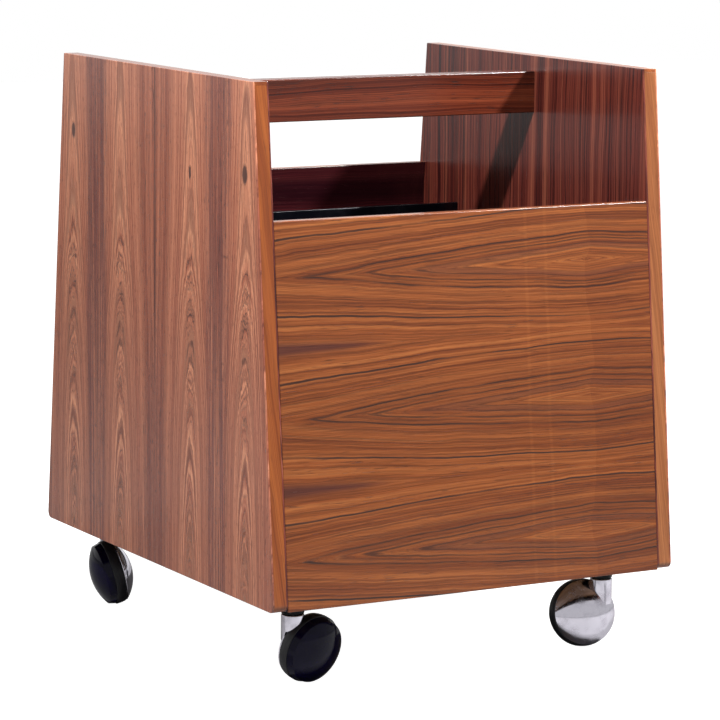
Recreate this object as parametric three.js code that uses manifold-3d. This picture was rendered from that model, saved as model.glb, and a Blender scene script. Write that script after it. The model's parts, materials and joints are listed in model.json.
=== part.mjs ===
// A rolling magazine rack of rosewood-veneered boards on four tilted-disc swivel casters.
// Two trapezoidal side panels carry a front panel, a rear panel, a bottom board, a handle rail
// and five thin dividers. Millimetres, +Z up, origin on the floor under the middle of the case,
// +X to the right of the front, and the front panel faces -Y.

import * as THREE from 'three';
import { mergeVertices } from 'three/addons/utils/BufferGeometryUtils.js';
import Module from 'manifold-3d';

const wasm = await Module();
wasm.setup();

// ---- driving dimensions: the case ----
const GAP = 0.3;                    // clearance between two pieces that meet
const OVERCUT = 1;                  // how far a cutter runs past the surface that it opens
const WELD = 1e-4;                  // points closer than this are one point
const CASE_WIDTH = 400;
const SIDE_HEIGHT = 441;
const SIDE_DEPTH_TOP = 376;
const SIDE_DEPTH_BOTTOM = 459;
const SIDE_THICKNESS = 14.5;
const CORNER_RADIUS = 6;            // rounds the bottom corners of the side panels
const CORNER_STEPS = 6;
const VENEER = 1.5;                 // face veneer that shows beside each edge lipping
const LIPPING_DEPTH = 3;
const PANEL_THICKNESS = 11;         // front and rear panels
const PANEL_HEIGHT = 325.5;
const PANEL_EASE = 1.5;             // round along the top edge of a panel
const BOARD_THICKNESS = 18;
const BOARD_RECESS = 8;             // the bottom board sits this far above the panels' lower edges
const HOUSING_DEPTH = 5;            // the bottom board's ends are let into the side panels
const RAIL_THICKNESS = 20;
const RAIL_BOTTOM = 389;            // above the side panels' lower edges
const RAIL_TOP = 427;
const RAIL_EASE = 1.5;
const DIVIDER_COUNT = 5;
const DIVIDER_PITCH = 63.4;
const DIVIDER_THICKNESS = 4;
const DIVIDER_TOP = 292;            // above the side panels' lower edges
const DIVIDER_GROOVE = 4;           // depth of the stopped grooves in the side panels
const BOARD_GROOVE = 3;             // depth of the grooves in the bottom board
const RAIL_DOWEL = { radius: 4, length: 29, inSide: 9, spread: 9 };
const PANEL_DOWEL = { radius: 2.5, length: 22, inSide: 8, inset: 6.7, heights: [60, 260] };
const DOWEL_SIDES = 12;

// ---- driving dimensions: the casters ----
const STEM_X = 156.4;               // stem axes, from the middle of the case
const STEM_Y = 181.9;
const WHEEL_TILT = THREE.MathUtils.degToRad(13.4);
const WHEEL_TRAIL = 16.3;           // from the stem axis to the wheel, across the axle
const WHEEL_OFFSET = 5.1;           // from the stem axis to the tyre, along the axle
const WHEEL_DROP = 45.2;            // from the side panels' lower edges to the wheel centre
const TYRE = { radius: 30.3, seat: 26, front: 2.1, back: -7, crown: 0.7 };
const DISC = { shoulder: 27.9, shoulderAt: 8.9, apex: 17.9, hub: 8, hubBack: -9 };
const HOOD = { radius: 29, rim: -7.6, flank: 1, apex: -21, wall: 2.2, boss: 7 };
const AXLE = { radius: 3, front: 8, back: -17 };
const STEM = {
  radius: 4, top: 18, bottom: -17.5, chamfer: 1, headroom: 1,
  grooveRadius: 3.2, grooveAt: 13, grooveWidth: 2,
};
const COLLAR = { radius: 10, bottom: -12.7, sleeve: 6, sleeveTop: 22 };
const LUG = { radius: 10, top: -13.2, bottom: -36 };
const WHEEL_CLEARANCE = 0.6;        // between the turning wheel and the fixed hood
const ROUND_SIDES = 24;
const COLLAR_SIDES = 16;
const PIN_SIDES = 12;
const ARC_STEPS = 5;

// Each caster is swivelled its own way: the direction that its black disc faces, in degrees from +X.
const CASTERS = [
  { place: 'front_left', side: -1, end: -1, facing: -74.7 },
  { place: 'rear_left', side: -1, end: 1, facing: 168.4 },
  { place: 'front_right', side: 1, end: -1, facing: 80.5 },
  { place: 'rear_right', side: 1, end: 1, facing: 140 },
];

// ---- derived dimensions ----
const tyreReach = TYRE.front * Math.sin(WHEEL_TILT) + TYRE.radius * Math.cos(WHEEL_TILT);
const BASE = tyreReach + WHEEL_DROP;                     // height of the side panels' lower edges
const INNER_X = CASE_WIDTH / 2 - SIDE_THICKNESS;         // inner faces of the side panels
const slope = (SIDE_DEPTH_BOTTOM - SIDE_DEPTH_TOP) / 2 / SIDE_HEIGHT;
const halfDepth = (height) => SIDE_DEPTH_BOTTOM / 2 - slope * height;
const panelRun = PANEL_THICKNESS * Math.hypot(1, slope); // a panel's thickness measured along Y
const boardTop = BOARD_RECESS + BOARD_THICKNESS;

// ---- materials ----
const finish = (color, roughness, metalness) => () =>
  new THREE.MeshStandardMaterial({ color, roughness, metalness });
const veneer = finish(0xa86b45, 0.35, 0);
const lippingWood = finish(0xb06a3a, 0.4, 0);
const railWood = finish(0x7a4230, 0.35, 0);
const core = finish(0x8a6a4c, 0.7, 0);
const dowelWood = finish(0xd8b98a, 0.8, 0);
const dividerBlack = finish(0x121216, 0.3, 0);
const collarBlack = finish(0x0c0c0e, 0.45, 0);
const chrome = finish(0xd2d4d8, 0.12, 1);
const steel = finish(0x9a9ca0, 0.35, 1);
const discBlack = finish(0x0d0d12, 0.15, 0);
const tyreBlack = finish(0x101012, 0.55, 0);

// ---- solids ----
function toSolid(geometry) {
  const bare = geometry.index ? geometry.toNonIndexed() : geometry.clone();
  bare.deleteAttribute('normal');
  bare.deleteAttribute('uv');
  const merged = mergeVertices(bare, WELD);
  return new wasm.Manifold(new wasm.Mesh({
    numProp: 3,
    vertProperties: new Float32Array(merged.attributes.position.array),
    triVerts: new Uint32Array(merged.index.array),
  }));
}

function toGeometry(solid) {
  const mesh = solid.getMesh();
  const geometry = new THREE.BufferGeometry();
  geometry.setAttribute('position', new THREE.BufferAttribute(mesh.vertProperties, 3));
  geometry.setIndex(new THREE.BufferAttribute(mesh.triVerts, 1));
  geometry.computeVertexNormals();
  return geometry;
}

// A solid between two X planes whose outline is drawn as (Y, height above the lower edges).
function prism(shape, x0, x1) {
  const geometry = new THREE.ExtrudeGeometry(shape, {
    depth: x1 - x0, bevelEnabled: false, curveSegments: CORNER_STEPS,
  });
  const place = new THREE.Matrix4().makeBasis(
    new THREE.Vector3(0, 1, 0), new THREE.Vector3(0, 0, 1), new THREE.Vector3(1, 0, 0));
  place.setPosition(x0, 0, BASE);
  return toSolid(geometry.applyMatrix4(place));
}

// A box between two corners, with heights above the lower edges.
function block(low, high) {
  const size = high.map((value, i) => value - low[i]);
  const geometry = new THREE.BoxGeometry(...size);
  geometry.translate(...low.map((value, i) => value + size[i] / 2));
  geometry.translate(0, 0, BASE);
  return toSolid(geometry);
}

function pinAlongX(radius, x0, x1, y, height) {
  const geometry = new THREE.CylinderGeometry(radius, radius, x1 - x0, DOWEL_SIDES);
  geometry.rotateZ(Math.PI / 2);
  geometry.translate((x0 + x1) / 2, y, BASE + height);
  return toSolid(geometry);
}

function turned(profile, sides) {
  const points = profile.map(([radius, along]) => new THREE.Vector2(radius, along));
  return new THREE.LatheGeometry(points, sides);
}

// Points of a spherical cap's profile, from its apex on the axis to its rim.
function capArc(rimRadius, rimAt, apexAt, fromRadius = 0) {
  const depth = Math.abs(apexAt - rimAt);
  const ball = (rimRadius ** 2 + depth ** 2) / (2 * depth);
  const sense = Math.sign(apexAt - rimAt);
  const centre = apexAt - sense * ball;
  const first = Math.asin(fromRadius / ball);
  const last = Math.asin(rimRadius / ball);
  return Array.from({ length: ARC_STEPS + 1 }, (_, i) => {
    const angle = first + (last - first) * i / ARC_STEPS;
    return [ball * Math.sin(angle), centre + sense * ball * Math.cos(angle)];
  });
}

const rack = new THREE.Group();

function addPiece(name, solid, material, parent = rack) {
  const mesh = new THREE.Mesh(toGeometry(solid), material());
  mesh.name = name;
  parent.add(mesh);
}

// ---- outlines, drawn as (Y, height) ----
function sideOutline(inset, radius) {
  const low = inset;
  const high = SIDE_HEIGHT - inset;
  const edgeInset = inset * Math.hypot(1, slope);
  const bottom = halfDepth(low) - edgeInset;
  const top = halfDepth(high) - edgeInset;
  const shape = new THREE.Shape();
  if (radius > 0) {
    const up = new THREE.Vector2(-slope, 1).normalize();
    shape.moveTo(-bottom + radius, low);
    shape.lineTo(bottom - radius, low);
    shape.quadraticCurveTo(bottom, low, bottom + up.x * radius, low + up.y * radius);
    shape.lineTo(top, high);
    shape.lineTo(-top, high);
    shape.lineTo(-bottom - up.x * radius, low + up.y * radius);
    shape.quadraticCurveTo(-bottom, low, -bottom + radius, low);
  } else {
    shape.setFromPoints([[-bottom, low], [bottom, low], [top, high], [-top, high]]
      .map(([y, z]) => new THREE.Vector2(y, z)));
  }
  return shape;
}

// The cross-section of the rear panel (end = 1) or the front panel (end = -1).
function panelOutline(end) {
  const outer = (height) => end * halfDepth(height);
  const inner = (height) => end * (halfDepth(height) - panelRun);
  const shape = new THREE.Shape();
  const easeRun = end * PANEL_EASE;
  shape.moveTo(outer(0), 0);
  shape.lineTo(outer(PANEL_HEIGHT - PANEL_EASE), PANEL_HEIGHT - PANEL_EASE);
  shape.lineTo(outer(PANEL_HEIGHT) - easeRun, PANEL_HEIGHT);
  shape.lineTo(inner(PANEL_HEIGHT) + easeRun, PANEL_HEIGHT);
  shape.lineTo(inner(PANEL_HEIGHT - PANEL_EASE), PANEL_HEIGHT - PANEL_EASE);
  shape.lineTo(inner(0), 0);
  shape.closePath();
  return shape;
}

function boardOutline(grow) {
  const reach = (height) => halfDepth(height) - panelRun - GAP + grow;
  const low = BOARD_RECESS - grow;
  const high = boardTop + grow;
  const shape = new THREE.Shape();
  shape.setFromPoints([[-reach(low), low], [reach(low), low], [reach(high), high], [-reach(high), high]]
    .map(([y, z]) => new THREE.Vector2(y, z)));
  return shape;
}

function railOutline() {
  const half = RAIL_THICKNESS / 2;
  const ease = RAIL_EASE;
  const shape = new THREE.Shape();
  shape.setFromPoints([
    [-half + ease, RAIL_BOTTOM], [half - ease, RAIL_BOTTOM], [half, RAIL_BOTTOM + ease],
    [half, RAIL_TOP - ease], [half - ease, RAIL_TOP], [-half + ease, RAIL_TOP],
    [-half, RAIL_TOP - ease], [-half, RAIL_BOTTOM + ease],
  ].map(([y, z]) => new THREE.Vector2(y, z)));
  return shape;
}

// ---- places that repeat ----
const dividerPlaces = Array.from({ length: DIVIDER_COUNT },
  (_, i) => (i - (DIVIDER_COUNT - 1) / 2) * DIVIDER_PITCH);
const railDowelHeights = [-RAIL_DOWEL.spread, RAIL_DOWEL.spread]
  .map((shift) => (RAIL_BOTTOM + RAIL_TOP) / 2 + shift);
const SIDES = [{ name: 'left', side: -1 }, { name: 'right', side: 1 }];
const ENDS = [{ name: 'front', end: -1 }, { name: 'rear', end: 1 }];
const LEVELS = ['lower', 'upper'];

// Calls use(name, x0, x1, y, height, radius) for each dowel in a side panel, grown by `grow` all round.
function eachDowel(side, grow, use) {
  const span = (dowel) => {
    const inside = side * (INNER_X + dowel.inSide + grow);
    const outside = side * (INNER_X + dowel.inSide - dowel.length - grow);
    return [Math.min(inside, outside), Math.max(inside, outside)];
  };
  const sideName = side < 0 ? 'left' : 'right';
  railDowelHeights.forEach((height, i) => {
    use(`rail_dowel_${sideName}_${LEVELS[i]}`, ...span(RAIL_DOWEL), 0, height, RAIL_DOWEL.radius + grow);
  });
  for (const { name, end } of ENDS) {
    PANEL_DOWEL.heights.forEach((height, i) => {
      const y = end * (halfDepth(height) - PANEL_DOWEL.inset);
      use(`${name}_panel_dowel_${sideName}_${LEVELS[i]}`, ...span(PANEL_DOWEL), y, height,
        PANEL_DOWEL.radius + grow);
    });
  }
}

function cutDowels(solid, side) {
  let cut = solid;
  eachDowel(side, GAP, (name, x0, x1, y, height, radius) => {
    cut = cut.subtract(pinAlongX(radius, x0, x1, y, height));
  });
  return cut;
}

// ---- the case ----
function addSide(name, side) {
  const outer = side * CASE_WIDTH / 2;
  const inner = side * INNER_X;
  const [x0, x1] = [Math.min(outer, inner), Math.max(outer, inner)];
  const outline = sideOutline(0, CORNER_RADIUS);

  // The slot round the edge, between the two face veneers, that the lippings fill.
  const slotX = [x0 + VENEER - GAP, x1 - VENEER + GAP];
  const slot = prism(sideOutline(-OVERCUT, 0), ...slotX)
    .subtract(prism(sideOutline(LIPPING_DEPTH + GAP, 0), ...slotX));
  let panel = prism(outline, x0, x1).subtract(slot);

  const mouthX = inner - side * OVERCUT;
  const housingX = side * (INNER_X + HOUSING_DEPTH + GAP);
  panel = panel.subtract(prism(boardOutline(GAP), Math.min(housingX, mouthX), Math.max(housingX, mouthX)));
  for (const y of dividerPlaces) {
    const grooveX = side * (INNER_X + DIVIDER_GROOVE + GAP);
    const half = DIVIDER_THICKNESS / 2 + GAP;
    panel = panel.subtract(block([Math.min(grooveX, mouthX), y - half, boardTop - BOARD_GROOVE],
      [Math.max(grooveX, mouthX), y + half, DIVIDER_TOP + GAP]));
  }
  addPiece(`${name}_side_panel`, cutDowels(panel, side), veneer);

  const ring = prism(outline, x0 + VENEER, x1 - VENEER)
    .subtract(prism(sideOutline(LIPPING_DEPTH, 0), x0, x1));
  const low = LIPPING_DEPTH;
  const high = SIDE_HEIGHT - LIPPING_DEPTH;
  const far = SIDE_DEPTH_BOTTOM;
  const strips = {
    top: block([x0, -far, high], [x1, far, high + far]),
    bottom: block([x0, -far, low - far], [x1, far, low]),
    front: block([x0, -far, low + GAP], [x1, 0, high - GAP]),
    rear: block([x0, 0, low + GAP], [x1, far, high - GAP]),
  };
  for (const [place, region] of Object.entries(strips)) {
    addPiece(`${name}_${place}_lipping`, ring.intersect(region), lippingWood);
  }
}

function addEndPanel(name, end) {
  const outline = panelOutline(end);
  const reach = INNER_X - GAP;
  const lippingFoot = PANEL_HEIGHT - LIPPING_DEPTH;
  const outerY = (height) => end * halfDepth(height);
  // A strip of the panel's cross-section that leaves `skin` of veneer on both faces.
  const strip = (skin, foot) => {
    const shape = new THREE.Shape();
    const run = skin * Math.hypot(1, slope);
    const near = (height) => outerY(height) - end * run;
    const away = (height) => outerY(height) - end * (panelRun - run);
    const head = PANEL_HEIGHT + OVERCUT;
    shape.setFromPoints([[near(foot), foot], [near(head), head], [away(head), head], [away(foot), foot]]
      .map(([y, z]) => new THREE.Vector2(y, z)));
    return prism(shape, -CASE_WIDTH / 2, CASE_WIDTH / 2);
  };
  const whole = prism(outline, -reach, reach);
  let panel = whole.subtract(strip(VENEER - GAP, lippingFoot - GAP));
  panel = cutDowels(cutDowels(panel, -1), 1);
  addPiece(`${name}_panel`, panel, veneer);
  addPiece(`${name}_panel_top_lipping`, whole.intersect(strip(VENEER, lippingFoot)), lippingWood);
}

function addBottomBoard() {
  const reach = INNER_X + HOUSING_DEPTH;
  let board = prism(boardOutline(0), -reach, reach);
  for (const y of dividerPlaces) {
    const half = DIVIDER_THICKNESS / 2 + GAP;
    board = board.subtract(block([-CASE_WIDTH / 2, y - half, boardTop - BOARD_GROOVE],
      [CASE_WIDTH / 2, y + half, boardTop + OVERCUT]));
  }
  for (const { side, end } of CASTERS) {
    const bore = new THREE.CylinderGeometry(COLLAR.sleeve + GAP, COLLAR.sleeve + GAP,
      COLLAR.sleeveTop + GAP + OVERCUT, PIN_SIDES);
    bore.rotateX(Math.PI / 2);
    bore.translate(side * STEM_X, end * STEM_Y, BASE + (COLLAR.sleeveTop + GAP - OVERCUT) / 2);
    board = board.subtract(toSolid(bore));
  }
  addPiece('bottom_board', board, core);
}

function addHandleRail() {
  const reach = INNER_X - GAP;
  const rail = prism(railOutline(), -reach, reach);
  addPiece('handle_rail', cutDowels(cutDowels(rail, -1), 1), railWood);
}

function addDividers() {
  const reach = INNER_X + DIVIDER_GROOVE;
  const half = DIVIDER_THICKNESS / 2;
  dividerPlaces.forEach((y, i) => {
    addPiece(`divider_${i + 1}`,
      block([-reach, y - half, boardTop - BOARD_GROOVE + GAP], [reach, y + half, DIVIDER_TOP]),
      dividerBlack);
  });
}

function addDowels() {
  for (const { side } of SIDES) {
    eachDowel(side, 0, (name, x0, x1, y, height, radius) => {
      addPiece(name, pinAlongX(radius, x0, x1, y, height), dowelWood);
    });
  }
}

// ---- the casters ----
// In a caster's own frame the stem axis is Z, heights are above the side panels' lower edges,
// and the black disc faces +X and tips down.
const wheelPlace = new THREE.Matrix4().makeTranslation(WHEEL_OFFSET, WHEEL_TRAIL, -WHEEL_DROP)
  .multiply(new THREE.Matrix4().makeRotationY(WHEEL_TILT))
  .multiply(new THREE.Matrix4().makeRotationZ(-Math.PI / 2));

const onAxle = (profile, sides) => toSolid(turned(profile, sides).applyMatrix4(wheelPlace));
const onStem = (profile, sides) => toSolid(turned(profile, sides).rotateX(Math.PI / 2));

const collarProfile = [
  [STEM.radius + GAP, COLLAR.bottom], [COLLAR.radius, COLLAR.bottom],
  [COLLAR.radius, BOARD_RECESS - GAP], [COLLAR.sleeve, BOARD_RECESS - GAP],
  [COLLAR.sleeve, COLLAR.sleeveTop], [0, COLLAR.sleeveTop],
  [0, STEM.top + STEM.headroom], [STEM.radius + GAP, STEM.top + STEM.headroom],
  [STEM.radius + GAP, COLLAR.bottom],
];

const stemProfile = [
  [0, STEM.bottom], [STEM.radius, STEM.bottom],
  [STEM.radius, STEM.grooveAt], [STEM.grooveRadius, STEM.grooveAt],
  [STEM.grooveRadius, STEM.grooveAt + STEM.grooveWidth], [STEM.radius, STEM.grooveAt + STEM.grooveWidth],
  [STEM.radius, STEM.top - STEM.chamfer], [STEM.radius - STEM.chamfer, STEM.top], [0, STEM.top],
];

const axleProfile = [
  [0, AXLE.back], [AXLE.radius, AXLE.back], [AXLE.radius, AXLE.front], [0, AXLE.front],
];

const discFace = capArc(DISC.shoulder, DISC.shoulderAt, DISC.apex);
const discProfile = [
  [0, AXLE.front + GAP], [AXLE.radius + GAP, AXLE.front + GAP], [AXLE.radius + GAP, DISC.hubBack],
  [DISC.hub, DISC.hubBack], [DISC.hub, TYRE.back], [TYRE.seat, TYRE.back],
  [TYRE.seat, TYRE.front + GAP], [TYRE.radius - TYRE.crown, TYRE.front + GAP],
  ...discFace.reverse(),
];

const tyreMiddle = (TYRE.front + TYRE.back) / 2;
const tyreProfile = [
  [TYRE.seat + GAP, TYRE.back], [TYRE.radius - TYRE.crown, TYRE.back],
  [TYRE.radius, tyreMiddle], [TYRE.radius, TYRE.front],
  [TYRE.seat + GAP, TYRE.front], [TYRE.seat + GAP, TYRE.back],
];

const hoodRim = HOOD.rim - HOOD.flank;
const hoodInside = capArc(HOOD.radius - HOOD.wall, hoodRim, HOOD.apex + HOOD.wall, HOOD.boss);
const hoodProfile = [
  ...capArc(HOOD.radius, hoodRim, HOOD.apex),
  [HOOD.radius, HOOD.rim], [HOOD.radius - HOOD.wall, HOOD.rim],
  ...hoodInside.reverse(),
  [HOOD.boss, DISC.hubBack - WHEEL_CLEARANCE], [AXLE.radius + GAP, DISC.hubBack - WHEEL_CLEARANCE],
  [AXLE.radius + GAP, AXLE.back - GAP], [0, AXLE.back - GAP],
];

// The space that the turning wheel needs, cut out of the lug that joins the hood to the stem.
const wheelSweep = [
  [0, TYRE.back - WHEEL_CLEARANCE], [TYRE.radius + WHEEL_CLEARANCE, TYRE.back - WHEEL_CLEARANCE],
  [TYRE.radius + WHEEL_CLEARANCE, DISC.shoulderAt], [DISC.shoulder, DISC.apex], [0, DISC.apex],
];

function hoodSolid() {
  const lug = onStem([[0, LUG.bottom], [LUG.radius, LUG.bottom], [LUG.radius, LUG.top], [0, LUG.top]],
    ROUND_SIDES);
  const stemSeat = onStem([[0, STEM.bottom - GAP], [STEM.radius + GAP, STEM.bottom - GAP],
    [STEM.radius + GAP, LUG.top + OVERCUT], [0, LUG.top + OVERCUT]], PIN_SIDES);
  const lugOnly = lug.subtract(onAxle(wheelSweep, ROUND_SIDES)).subtract(stemSeat);
  return onAxle(hoodProfile, ROUND_SIDES).add(lugOnly);
}

function addCaster({ place, side, end, facing }) {
  const caster = new THREE.Group();
  caster.position.set(side * STEM_X, end * STEM_Y, BASE);
  caster.rotation.z = THREE.MathUtils.degToRad(facing);
  rack.add(caster);
  addPiece(`caster_socket_${place}`, onStem(collarProfile, COLLAR_SIDES), collarBlack, caster);
  addPiece(`caster_stem_${place}`, onStem(stemProfile, PIN_SIDES), steel, caster);
  addPiece(`caster_hood_${place}`, hoodSolid(), chrome, caster);
  addPiece(`caster_axle_${place}`, onAxle(axleProfile, PIN_SIDES), steel, caster);
  addPiece(`wheel_disc_${place}`, onAxle(discProfile, ROUND_SIDES), discBlack, caster);
  addPiece(`wheel_tyre_${place}`, onAxle(tyreProfile, ROUND_SIDES), tyreBlack, caster);
}

for (const { name, side } of SIDES) addSide(name, side);
for (const { name, end } of ENDS) addEndPanel(name, end);
addBottomBoard();
addHandleRail();
addDividers();
addDowels();
CASTERS.forEach(addCaster);

export default rack;
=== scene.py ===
"""Looks of a rolling magazine rack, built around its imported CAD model. Metres, +Z up, front towards -Y."""

import json
import math
from types import SimpleNamespace

import bmesh
import bpy
from mathutils import Matrix, Vector


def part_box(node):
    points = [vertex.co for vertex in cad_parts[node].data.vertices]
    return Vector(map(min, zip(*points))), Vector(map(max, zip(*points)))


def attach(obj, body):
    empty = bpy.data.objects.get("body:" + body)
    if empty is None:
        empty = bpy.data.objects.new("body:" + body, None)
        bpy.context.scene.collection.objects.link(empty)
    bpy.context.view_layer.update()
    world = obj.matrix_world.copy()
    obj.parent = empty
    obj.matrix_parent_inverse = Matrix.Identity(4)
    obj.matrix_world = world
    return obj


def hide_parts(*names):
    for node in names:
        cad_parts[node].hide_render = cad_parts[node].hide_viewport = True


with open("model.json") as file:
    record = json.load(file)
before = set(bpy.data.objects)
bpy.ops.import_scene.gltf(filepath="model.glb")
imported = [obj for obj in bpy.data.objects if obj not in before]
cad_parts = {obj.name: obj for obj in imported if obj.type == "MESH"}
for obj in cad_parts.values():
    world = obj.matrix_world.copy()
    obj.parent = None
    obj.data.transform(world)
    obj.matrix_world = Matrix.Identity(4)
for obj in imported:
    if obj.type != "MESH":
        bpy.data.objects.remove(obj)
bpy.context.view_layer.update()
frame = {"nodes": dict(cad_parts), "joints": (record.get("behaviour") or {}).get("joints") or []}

MM = 0.001

# ---- places and sizes that come from the frame, in mm ----


def span(node):
    """(lowest corner, highest corner) of a CAD node, in mm."""
    low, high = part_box(node)
    return low / MM, high / MM


side_low, side_high = span("left_side_panel")
BASE = side_low.z
SIDE_HEIGHT = side_high.z - side_low.z
OUTER_X = -side_low.x
INNER_X = -side_high.x
HALF_BOTTOM = side_high.y
NEAR = 0.01                                      # heights closer than this are the same
side_points = [v.co / MM for v in frame["nodes"]["left_side_panel"].data.vertices]
HALF_TOP = max(p.y for p in side_points if p.z > side_high.z - NEAR)
SLOPE = (HALF_BOTTOM - HALF_TOP) / SIDE_HEIGHT
LEAN = math.hypot(1, SLOPE)                      # a thickness measured along Y, per mm of thickness
PANEL_HEIGHT = span("front_panel")[1].z - BASE
rail_low, rail_high = span("handle_rail")

# ---- sizes that only the looks need, in mm ----
VENEER = 1.5                                     # face veneer that shows beside each lipping
LIPPING_DEPTH = 3
PANEL_THICKNESS = 11
CORNER_RADIUS = 6
CORNER_STEPS = 10
SEAM = 0.06                                      # open line between two glued pieces
EDGE_ROUND = 1.2                                 # widest rounding of an edge
SOFT = 0.75                                      # share of EDGE_ROUND on an edge that hands touch
CRISP = 0.45                                     # on the other outer edges
PANEL_SOFT = SOFT * 0.7                          # on the front and rear panels' edges
GLUE_LINE = 0.1                                  # where a veneer meets a lipping
BEVEL_STEPS = 3
OUTLINE_CORNER = math.radians(20)                # an outline that turns more than this has an edge to round
CREASE = math.radians(35)                        # a turned surface that turns more than this has a sharp edge
LATHE_SIDES = 96
PLACES = ("front_left", "rear_left", "front_right", "rear_right")


# ---- meshes ----
def clip(points, normal, limit):
    """The part of a convex outline where the dot product with normal is at most limit."""
    kept = []
    for here, after in zip(points, points[1:] + points[:1]):
        a = here.dot(normal) - limit
        b = after.dot(normal) - limit
        if a <= 0:
            kept.append(here)
        if (a < 0 < b) or (b < 0 < a):
            kept.append(here.lerp(after, a / (a - b)))
    return kept


def slab(points, low, high):
    """The part of an outline between two heights."""
    above = clip(points, Vector((0, -1)), -low)
    return clip(above, Vector((0, 1)), high)


def behind_edge(points, sense, depth_near, depth_far):
    """The part of an outline between two depths under the slanted edge at the front (-1) or the rear (1)."""
    normal = Vector((sense, SLOPE)) / LEAN
    reach = HALF_BOTTOM / LEAN
    outside = clip(points, normal, reach - depth_near)
    return clip(outside, -normal, -(reach - depth_far))


def arc_corner(corner, before, after, radius, steps):
    """Points of an arc that rounds a corner between two neighbours."""
    to_before = (before - corner).normalized()
    to_after = (after - corner).normalized()
    half = to_before.angle(to_after) / 2
    reach = radius / math.tan(half)
    centre = corner + (to_before + to_after).normalized() * (radius / math.sin(half))
    start = corner + to_before * reach - centre
    end = corner + to_after * reach - centre
    turn = start.angle_signed(end)
    return [centre + Matrix.Rotation(-turn * i / steps, 2) @ start for i in range(steps + 1)]


def round_corners(points, radii, steps=4, closed=True):
    """An outline with each corner rounded by its own radius, 0 for a sharp corner."""
    made = []
    count = len(points)
    for i, (point, radius) in enumerate(zip(points, radii)):
        at_end = not closed and i in (0, count - 1)
        if radius == 0 or at_end:
            made.append(point)
        else:
            made += arc_corner(point, points[i - 1], points[(i + 1) % count], radius, steps)
    return made


def side_outline():
    """A side panel's outline as (Y, height), anticlockwise, with round bottom corners."""
    corners = [Vector((-HALF_BOTTOM, 0)), Vector((HALF_BOTTOM, 0)),
               Vector((HALF_TOP, SIDE_HEIGHT)), Vector((-HALF_TOP, SIDE_HEIGHT))]
    return round_corners(corners, [CORNER_RADIUS, CORNER_RADIUS, 0, 0], CORNER_STEPS)


def add_prism(mesh, outline, x_low, x_high, soft_low=CRISP, soft_high=CRISP, soft_corners=CRISP):
    """Adds a closed prism along X to a bmesh. The soft values are the shares of EDGE_ROUND on its edges."""
    layers = mesh.edges.layers.float
    weights = layers.get("bevel_weight_edge") or layers.new("bevel_weight_edge")
    rings = []
    for x in (x_low, x_high):
        rings.append([mesh.verts.new(Vector((x, p.x, BASE + p.y)) * MM) for p in outline])
    low, high = rings
    count = len(outline)
    mesh.faces.new(reversed(low))
    mesh.faces.new(high)
    for i in range(count):
        j = (i + 1) % count
        mesh.faces.new((low[i], low[j], high[j], high[i]))
    for ring, soft in ((low, soft_low), (high, soft_high)):
        for i in range(count):
            mesh.edges.get((ring[i], ring[(i + 1) % count]))[weights] = soft
    for i in range(count):
        before = (outline[i] - outline[i - 1]).normalized()
        after = (outline[(i + 1) % count] - outline[i]).normalized()
        if before.angle(after) > OUTLINE_CORNER:
            mesh.edges.get((low[i], high[i]))[weights] = soft_corners


def finish_board(name, mesh, materials, pick=None):
    """Makes an object of a bmesh of boards, with rounded edges. pick turns a face's centre into its slot."""
    bmesh.ops.recalc_face_normals(mesh, faces=mesh.faces)
    for face in mesh.faces:
        face.smooth = True
        if pick:
            face.material_index = pick(face.calc_center_median() / MM)
    data = bpy.data.meshes.new(name)
    mesh.to_mesh(data)
    mesh.free()
    piece = bpy.data.objects.new(name, data)
    bpy.context.scene.collection.objects.link(piece)
    for material in materials:
        data.materials.append(material)
    bevel = piece.modifiers.new("round_edges", "BEVEL")
    bevel.width = EDGE_ROUND * MM
    bevel.segments = BEVEL_STEPS
    bevel.limit_method = "WEIGHT"
    normals = piece.modifiers.new("flat_faces", "WEIGHTED_NORMAL")
    normals.keep_sharp = True
    return piece


def lathe_mesh(name, profile, closed=True):
    """A turned mesh about Z. profile is (radius, along) in mm, and a point on the axis has radius 0."""
    mesh = bmesh.new()
    rings = []
    for radius, along in profile:
        if radius == 0:
            rings.append([mesh.verts.new((0, 0, along * MM))])
            continue
        ring = []
        for i in range(LATHE_SIDES):
            angle = 2 * math.pi * i / LATHE_SIDES
            point = Vector((radius * math.cos(angle), radius * math.sin(angle), along))
            ring.append(mesh.verts.new(point * MM))
        rings.append(ring)
    pairs = list(zip(rings, rings[1:]))
    if closed and len(rings[0]) > 1:
        pairs.append((rings[-1], rings[0]))
    for one, two in pairs:
        if len(one) == 1 and len(two) == 1:
            continue
        for i in range(LATHE_SIDES):
            j = (i + 1) % LATHE_SIDES
            if len(one) == 1:
                mesh.faces.new((one[0], two[j], two[i]))
            elif len(two) == 1:
                mesh.faces.new((one[i], one[j], two[0]))
            else:
                mesh.faces.new((one[i], one[j], two[j], two[i]))
    bmesh.ops.recalc_face_normals(mesh, faces=mesh.faces)
    for face in mesh.faces:
        face.smooth = True
    data = bpy.data.meshes.new(name)
    mesh.to_mesh(data)
    mesh.free()
    data.set_sharp_from_angle(angle=CREASE)
    return data


def cap_arc(rim_radius, rim_at, apex_at, from_radius=0.0, steps=20):
    """Points of a spherical cap's profile, from near its apex to its rim."""
    depth = abs(apex_at - rim_at)
    ball = (rim_radius ** 2 + depth ** 2) / (2 * depth)
    sense = math.copysign(1, apex_at - rim_at)
    centre = apex_at - sense * ball
    first = math.asin(from_radius / ball)
    last = math.asin(rim_radius / ball)
    angles = [first + (last - first) * i / steps for i in range(steps + 1)]
    return [(ball * math.sin(angle), centre + sense * ball * math.cos(angle)) for angle in angles]


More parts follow.
